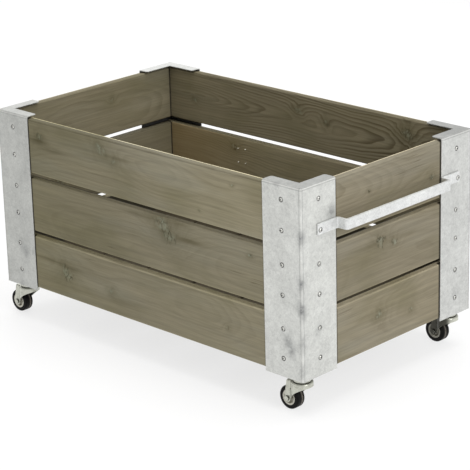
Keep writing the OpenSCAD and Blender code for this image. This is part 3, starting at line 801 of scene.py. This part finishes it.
def galvanised(name, tint, stains=(), lip=1.0):
    """Hot-dip galvanised steel: faint spangle, cloudy mottling, painted highlights on its edges, painted
    shade round its screws, and the marks of a bracket.
    """
    graph = Finish(name, metal=0.72)
    place = graph.place()
    cells = graph.node("ShaderNodeTexVoronoi", {"Vector": place, "Scale": 110.0, "Randomness": 1.0})
    spangle = graph.split(cells.outputs["Color"])[0]
    cloud = graph.noise(place, 60.0, 5.0, 0.75)
    patch = graph.noise(place, 11.0, 4.0, 0.6, 4.0)
    speck = graph.noise(place, 240.0, 3.0, 0.7, 8.0)
    vein = graph.vein(graph.noise(place, 38.0, 4.0, 0.7, 23.0))
    light = graph.add(graph.mul(spangle, 0.04), graph.step(cloud, 0.3, 0.7, -0.08, 0.08),
                      graph.step(patch, 0.3, 0.7, -0.07, 0.05), graph.step(speck, 0.3, 0.7, -0.07, 0.07),
                      graph.step(vein, 0.0, 0.025, -0.08, 0.0), 0.95)
    color = graph.shade(tint, light)
    eased, edge = edge_glint(graph, radius=0.9 * MM)
    # a painted highlight on the edges
    color = graph.cover(color, ZINC_GLINT, edge, 0.42)
    if stains:
        color = bracket_marks(graph, place, color, stains, lip)
    # painted shade round the screws and in the nooks
    screw_shade = graph.most(screw_ring(graph, place), nook_shade(graph, reach=3 * MM, most=0.45))
    color = graph.cover(color, SCREW_SHADE, screw_shade)
    rough = graph.add(0.42, graph.mul(cloud, 0.14), graph.mul(spangle, 0.06))
    height = graph.add(graph.mul(cloud, 0.5), graph.mul(speck, 0.22), graph.mul(spangle, 0.12))
    return graph.give(color, rough, graph.bump(height, distance=0.25 * MM, strength=0.45, normal=eased))


def inward(graph, place):
    """1 on the sides of a castor that look across, towards the crate's middle, where shade is painted."""
    normal = graph.split(graph.node("ShaderNodeTexCoord").outputs["Normal"])[1]
    side = graph.math("SIGN", graph.sub(CRATE_MIDDLE.y, graph.split(place)[1]))
    return graph.step(graph.mul(normal, side), 0.5, 0.9)


def leg_crease(graph, place):
    """A line of painted shade down the crease of each fork's leg."""
    row = graph.split(place)
    along = graph.sub(row[0], CRATE_MIDDLE.x - CREASE_BACK)
    off = graph.sub(graph.absolute(along), KING_PIN)
    return graph.mul(graph.bell(off, CREASE_WIDTH), graph.step(row[2], *CREASE_FOOT))


def plated(name, tint, rough, dull, nook_size, inward_shade=0.0):
    """Zinc-plated steel: fine drawing marks, cloudy passivation, dirt in spots, painted shade in every nook,
    painted highlights on its edges, and on the forks painted shade in a crease and on the inward sides.
    """
    graph = Finish(name, metal=0.85)
    place = graph.place()
    cloud = graph.noise(place, 60.0, 4.0, 0.6)
    marks = graph.fibres(place, 90.0, 1400.0, 2.0, 0.6, 3.0)
    spots = graph.noise(place, 130.0, 4.0, 0.65, 11.0)
    light = graph.add(0.76, graph.step(cloud, 0.3, 0.7, 0.0, 0.24), graph.step(marks, 0.3, 0.7, -0.06, 0.06))
    color = graph.shade(tint, light)
    color = graph.cover(color, PLATED_DULL, graph.step(spots, 0.52, 0.75, 0.0, dull))
    # painted shade in the screws' recesses and in every nook
    recess = graph.step(from_screw(graph, place), *SCREW_RECESS, 0.95, 0.0)
    color = graph.cover(color, PLATED_SHADE, graph.most(recess, nook_shade(graph, nook_size, most=0.92)))
    eased, edge = edge_glint(graph, radius=0.5 * MM)
    # a painted highlight on the edges
    color = graph.cover(color, PLATED_GLINT, edge, 0.7)
    if inward_shade:
        # painted shade down the crease
        color = graph.cover(color, CREASE_SHADE, leg_crease(graph, place), 0.75)
        # painted shade on the sides that look under the crate
        color = graph.cover(color, FORK_SHADE, inward(graph, place), inward_shade)
    height = graph.add(graph.mul(marks, 0.4), graph.mul(cloud, 0.5))
    rough = graph.add(rough, graph.mul(cloud, 0.14))
    return graph.give(color, rough, graph.bump(height, distance=0.12 * MM, strength=0.5, normal=eased))


def black_rubber():
    """Moulded black rubber, with a pale grey line round the tread, a painted highlight, beside its middle.
    """
    graph = Finish("black_rubber", specular=0.1)
    place = graph.place()
    dust = graph.noise(place, 70.0, 5.0, 0.65)
    scuff = graph.noise(place, 260.0, 3.0, 0.6, 5.0)
    color = graph.cover(RUBBER_BLACK, RUBBER_DUST, graph.step(dust, 0.4, 0.75, 0.0, 0.5))
    off = graph.absolute(graph.sub(graph.split(place)[1], CRATE_MIDDLE.y))
    line = graph.bell(graph.sub(off, WHEEL_OFFSET - TREAD_LINE), TREAD_LINE_WIDTH)
    # a painted highlight round the tread
    color = graph.cover(color, RUBBER_SHEEN, line, graph.step(scuff, 0.3, 0.6, 0.4, 0.9))
    rough = graph.add(0.36, graph.mul(dust, 0.22), graph.mul(scuff, 0.12))
    height = graph.add(graph.mul(scuff, 0.6), graph.mul(dust, 0.5))
    return graph.give(color, rough, graph.bump(height, distance=0.2 * MM, strength=0.5))


def hub_plastic():
    """Moulded grey plastic with a fine spark-eroded texture, a little grime, and painted shade on its inward
    side.
    """
    graph = Finish("hub_plastic", specular=0.45)
    place = graph.place()
    grime = graph.noise(place, 120.0, 4.0, 0.6)
    grain = graph.noise(place, 1800.0, 2.0, 0.6, 2.0)
    color = graph.cover(HUB_GREY, HUB_GRIME, graph.step(grime, 0.45, 0.75, 0.0, 0.4))
    # painted shade on the side that looks under the crate
    color = graph.cover(color, HUB_SHADE, inward(graph, place), 0.6)
    rough = graph.add(0.42, graph.mul(grime, 0.2))
    return graph.give(color, rough, graph.bump(grain, distance=0.08 * MM, strength=0.5))


# ---- the CAD nodes ----

# What the timber's colour is multiplied by, on each side, and on the floor and bearers, darkened as painted
# shade inside the crate
NO_TINT = (1.0, 1.0, 1.0, 1.0)
FLOOR_SHADE_TINT = (0.25, 0.225, 0.19, 1.0)
SIDE_TINTS = {
    "front": NO_TINT,
    "back": (1.01, 0.98, 0.91, 1.0),
    "left": (1.04, 1.02, 0.98, 1.0),
    "right": (1.01, 0.99, 1.02, 1.0),
}

# The colours of the handle, the fixings and the castors' steel
HANDLE_TINT = srgb(230, 231, 230)
FIXING_TINT = srgb(226, 226, 220)
CASTOR_TINT = srgb(204, 205, 193)

# Each bracket's colour, and the brightness of the painted shade on its lip, next to its flanges
BRACKETS = {"front_left": (srgb(191, 192, 188), 0.85), "front_right": (srgb(214, 215, 211), 0.58),
            "back_left": (srgb(210, 211, 208), 0.95), "back_right": (srgb(210, 211, 208), 0.62)}


def paint(material, *names):
    """Gives CAD nodes a material."""
    for name in names:
        node = NODES[name]
        if not node.material_slots:
            node.data.materials.append(material)
        for holder in node.material_slots:
            holder.material = material


def each_corner(*parts):
    """The names of these parts of all four castors."""
    return [f"{corner}_{part}" for corner in CORNERS for part in parts]


def finish_boards():
    """Gives every board and bearer a timber of its own."""
    boards = {f"{side}_board_{course}": SIDE_TINTS[side] for side in SIDES for course in COURSES}
    for name in ["bearer_front", "bearer_back"] + [f"floor_board_{number}" for number in range(1, 7)]:
        # the floor and bearers get painted shade
        boards[name] = FLOOR_SHADE_TINT
    for seed, (name, tint) in enumerate(boards.items(), start=1):
        paint(timber(name, seed, tint), name)


def finish_metal_and_wheels():
    """Gives the brackets, the handle, the screws and the castors their materials."""
    for corner, (tint, lip) in BRACKETS.items():
        name = f"bracket_{corner}"
        paint(galvanised("galvanised_" + name, tint, STAINS[name], lip), name)
    paint(galvanised("galvanised_bar", HANDLE_TINT), "handle")
    paint(plated("plated_fixings", FIXING_TINT, rough=0.28, dull=0.35, nook_size=1.6 * MM),
          "bracket_screws", "handle_screws", "bearer_screws", "floor_screws", "castor_nuts")
    # the castors' steel gets painted shade on its inward sides
    paint(plated("castor_steel", CASTOR_TINT, rough=0.22, dull=0.5, nook_size=14 * MM, inward_shade=0.92),
          *each_corner("fork", "race", "king_pin", "axle", "balls"))
    paint(hub_plastic(), *each_corner("hub"))
    paint(black_rubber(), *each_corner("tyre"))


# ---- small pieces ----

# Four screw points that come through the middle back board, from its middle, along the grain and up, in mm
POINTS = [(-229, 39), (-204, 40), (-229, 3), (-204, 4)]
POINT_RADIUS = 2.4 * MM
POINT_TIP = 0.3 * MM
POINT_LENGTH = 4 * MM
POINT_DARK = srgb(226, 222, 204)
POINT_BRIGHT = srgb(252, 250, 240)


def bright_point():
    """Clean metal at the very end of a screw."""
    graph = Finish("bright_point", metal=0.1)
    grain = graph.noise(graph.place(), 900.0, 3.0, 0.6)
    graph.feed(graph.shader["Base Color"], graph.mix(grain, POINT_DARK, POINT_BRIGHT))
    return graph.material


def make_points():
    """The points of the four screws, a little way out of the board's inner face."""
    low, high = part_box("back_board_mid")
    material = bright_point()
    for number, (along, up) in enumerate(POINTS, start=1):
        mesh = bmesh.new()
        bmesh.ops.create_cone(mesh, cap_ends=True, segments=16, radius1=POINT_RADIUS, radius2=POINT_TIP,
                              depth=2 * POINT_LENGTH)
        data = bpy.data.meshes.new("screw_point")
        mesh.to_mesh(data)
        mesh.free()
        data.materials.append(material)
        point = bpy.data.objects.new(f"screw_point_{number}", data)
        bpy.context.scene.collection.objects.link(point)
        point.location = ((low.x + high.x) / 2 + along * MM, low.y, (low.z + high.z) / 2 + up * MM)
        point.rotation_euler = (math.radians(90), 0, 0)
        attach(point, "root")


# ---- studio ----

# The camera: metres from the crate's foot, degrees, and millimetres of lens
CAMERA_FROM_CRATE = Vector((3.138, -3.191, 1.712))
CAMERA_AZIMUTH = 44.40
CAMERA_PITCH = 19.25
CAMERA_ROLL = 1.54
FOCAL_LENGTH = 152.6

# The floor: metres, its two greys and its glow; and the strength of the sky
FLOOR_SIDE = 60.0
FLOOR_GREYS = ((0.22, 0.22, 0.22, 1), (0.24, 0.24, 0.24, 1))
FLOOR_GLOW = 0.74
SKY = 0.7
WHITE = (1.0, 1.0, 1.0, 1.0)

# Round lights: where each stands, what it looks at, its width in metres and its power in watts
LIGHTS = {
    "overhead": ((0.3, 0.2, 4.5), (0, 0, 0.3), 3.5, 120),
    "right_key": ((4.2, -0.6, 2.6), (0, 0, 0.3), 2.4, 62),
    "back_left": ((-4.4, 3.1, 2.3), (0, 0, 0.4), 2.4, 24),
}


def make_camera():
    """The camera at the photograph's place; azimuth 0 looks along +Y and 90 along -X."""
    azimuth, pitch, roll = (math.radians(angle) for angle in (CAMERA_AZIMUTH, CAMERA_PITCH, CAMERA_ROLL))
    level = Vector((-math.sin(azimuth), math.cos(azimuth), 0))
    forward = level * math.cos(pitch) - Vector((0, 0, math.sin(pitch)))
    right = Vector((math.cos(azimuth), math.sin(azimuth), 0))
    up = right.cross(forward)
    right, up = right * math.cos(roll) - up * math.sin(roll), up * math.cos(roll) + right * math.sin(roll)
    data = bpy.data.cameras.new("camera")
    data.lens = FOCAL_LENGTH
    made = bpy.data.objects.new("camera", data)
    bpy.context.scene.collection.objects.link(made)
    turn = Matrix((right, up, -forward)).transposed().to_4x4()
    made.matrix_world = Matrix.Translation(CRATE_FOOT + CAMERA_FROM_CRATE) @ turn
    bpy.context.scene.camera = made


def make_light(name, at, target, size, power):
    """A soft round light that looks at a target."""
    data = bpy.data.lights.new(name, "AREA")
    data.shape = "DISK"
    data.size = size
    data.energy = power
    made = bpy.data.objects.new(name, data)
    bpy.context.scene.collection.objects.link(made)
    made.location = at
    made.rotation_euler = (Vector(target) - Vector(at)).to_track_quat("-Z", "Y").to_euler()


def make_sky():
    """An even white sky."""
    sky = bpy.data.worlds.new("sky")
    sky.use_nodes = True
    background = sky.node_tree.nodes["Background"].inputs
    background["Color"].default_value = WHITE
    background["Strength"].default_value = SKY
    bpy.context.scene.world = sky
    bpy.context.scene.view_settings.view_transform = "Standard"


def make_floor():
    """A pale, faintly lit floor."""
    graph = Finish("pale_floor", rough=0.8, specular=0.2)
    mottle = graph.noise(graph.place(), 3.0, 3.0)
    graph.feed(graph.shader["Base Color"], graph.mix(mottle, *FLOOR_GREYS))
    graph.feed(graph.shader["Emission Color"], WHITE)
    graph.feed(graph.shader["Emission Strength"], FLOOR_GLOW)
    half = FLOOR_SIDE / 2
    sheet = bpy.data.meshes.new("studio_floor")
    corners = [(-half, -half, 0), (half, -half, 0), (half, half, 0), (-half, half, 0)]
    sheet.from_pydata(corners, [], [(0, 1, 2, 3)])
    sheet.materials.append(graph.material)
    floor = bpy.data.objects.new("studio_floor", sheet)
    bpy.context.scene.collection.objects.link(floor)


make_camera()
make_sky()
make_floor()
for title, light in LIGHTS.items():
    make_light(title, *light)
finish_boards()
finish_metal_and_wheels()
make_points()
